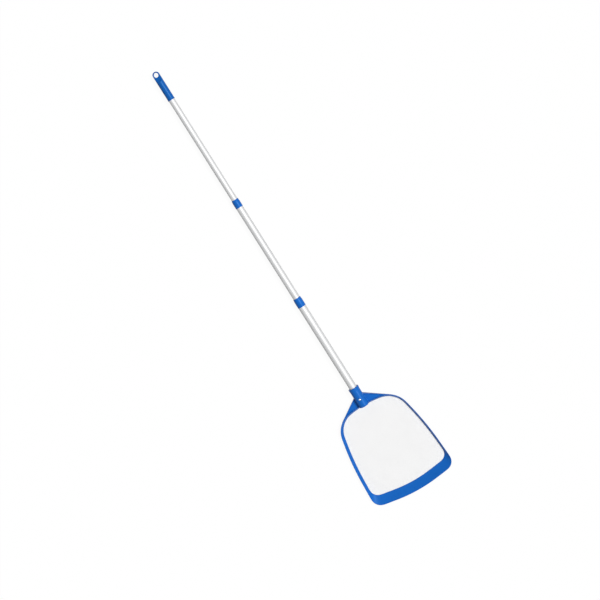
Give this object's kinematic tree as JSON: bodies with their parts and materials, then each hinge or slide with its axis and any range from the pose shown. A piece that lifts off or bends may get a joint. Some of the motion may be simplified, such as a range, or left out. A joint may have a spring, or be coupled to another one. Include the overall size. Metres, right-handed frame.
{
  "type": "leaf skimmer net",
  "caption": "Pool leaf skimmer: shallow fine-net tray with a sloping rim and wide scoop lip on a telescopic twist-lock pole with a hanging grip.",
  "frame": {"origin": "middle of the overall length, on the surface that the net head rests on, in the pole's middle plane", "axes": "+Y along the pole towards the hanging eye, -Y towards the scoop lip, +Z out of the open side of the net tray, +X across the head"},
  "size_m": [0.3126, 1.6614, 0.0377],
  "materials": {
    "blue_plastic": "moulded polypropylene, satin gloss",
    "inner_plastic": "moulded nylon, matt",
    "ring_plastic": "natural acetal",
    "tube_aluminium": "satin anodised",
    "spring_steel": "plain stainless steel",
    "net_fabric": "fine white woven net"
  },
  "bodies": {
    "head_and_lower_pole": {"pole_socket": "blue_plastic", "net_frame": "blue_plastic", "net_mesh": "net_fabric", "net_retainer": "blue_plastic", "lower_tube": "tube_aluminium", "lower_collar": "blue_plastic", "button_spring": "spring_steel"},
    "middle_lock": {"middle_lock_ring": "ring_plastic"},
    "middle_pole": {"middle_tube": "tube_aluminium", "middle_lock_plug": "inner_plastic", "middle_plug_pin": "spring_steel", "upper_collar": "blue_plastic"},
    "upper_lock": {"upper_lock_ring": "ring_plastic"},
    "upper_pole": {"upper_tube": "tube_aluminium", "upper_lock_plug": "inner_plastic", "upper_plug_pin": "spring_steel", "end_grip": "blue_plastic"},
    "front_snap": {"front_button": "spring_steel"},
    "rear_snap": {"rear_button": "spring_steel"}
  },
  "joints": [
    {"name": "middle_slide", "type": "slide", "parent": "head_and_lower_pole", "child": "middle_lock", "axis": [0, -1, 0], "range_m": [0, 0.27]},
    {"name": "middle_twist_lock", "type": "hinge", "parent": "middle_lock", "child": "middle_pole", "pos_m": [0, -0.12712, 0.01945], "axis": [0, 1, 0], "range_deg": [-60, 60]},
    {"name": "upper_slide", "type": "slide", "parent": "middle_pole", "child": "upper_lock", "axis": [0, -1, 0], "range_m": [0, 0.34]},
    {"name": "upper_twist_lock", "type": "hinge", "parent": "upper_lock", "child": "upper_pole", "pos_m": [0, 0.25988, 0.01945], "axis": [0, 1, 0], "range_deg": [-60, 60]},
    {"name": "front_button_press", "type": "slide", "parent": "head_and_lower_pole", "child": "front_snap", "axis": [0, 0, -1], "range_m": [0, 0.0048], "stiffness_N_per_m": 600, "springref_m": -0.002, "deforming": ["button_spring"]},
    {"name": "rear_button_press", "type": "slide", "parent": "head_and_lower_pole", "child": "rear_snap", "axis": [0, 0, 1], "range_m": [0, 0.0048], "stiffness_N_per_m": 600, "springref_m": -0.002, "deforming": ["button_spring"]}
  ]
}
